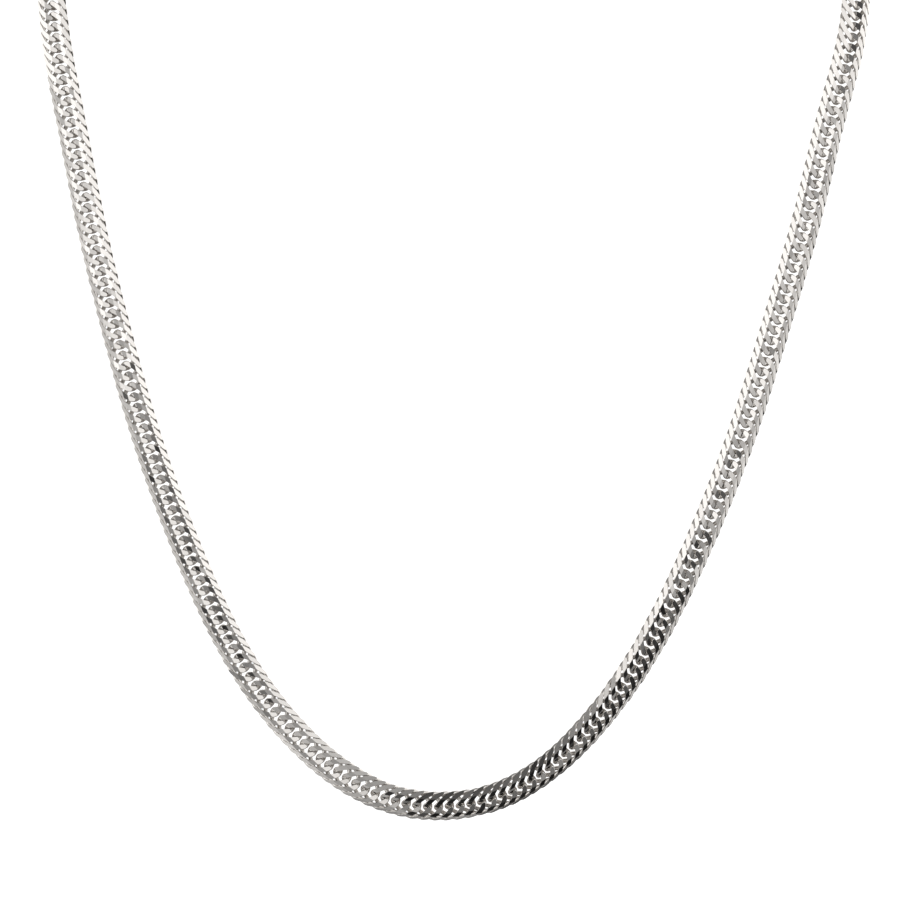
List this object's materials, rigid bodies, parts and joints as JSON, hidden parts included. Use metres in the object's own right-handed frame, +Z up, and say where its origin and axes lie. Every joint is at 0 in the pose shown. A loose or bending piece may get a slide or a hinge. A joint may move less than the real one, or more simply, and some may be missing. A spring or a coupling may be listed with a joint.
{
  "type": "curb chain necklace",
  "caption": "Closed neck chain of flattened, closely interlocked curb links with bevelled and grooved faces, held in its worn loop, with a plain box clasp at the nape.",
  "frame": {"origin": "Middle of the clasp's inner face, where the necklace sits on the nape.", "axes": "+X to the wearer's left, -Y to the front of the loop, +Z up."},
  "size_m": [0.1346, 0.0824, 0.1642],
  "materials": {
    "chain_metal": "white precious metal, diamond-cut mirror facets with fine polishing lines",
    "clasp_metal": "white precious metal, polished, with fine wear scratches"
  },
  "bodies": {
    "root": {"chain": "chain_metal", "clasp": "clasp_metal"}
  },
  "joints": []
}
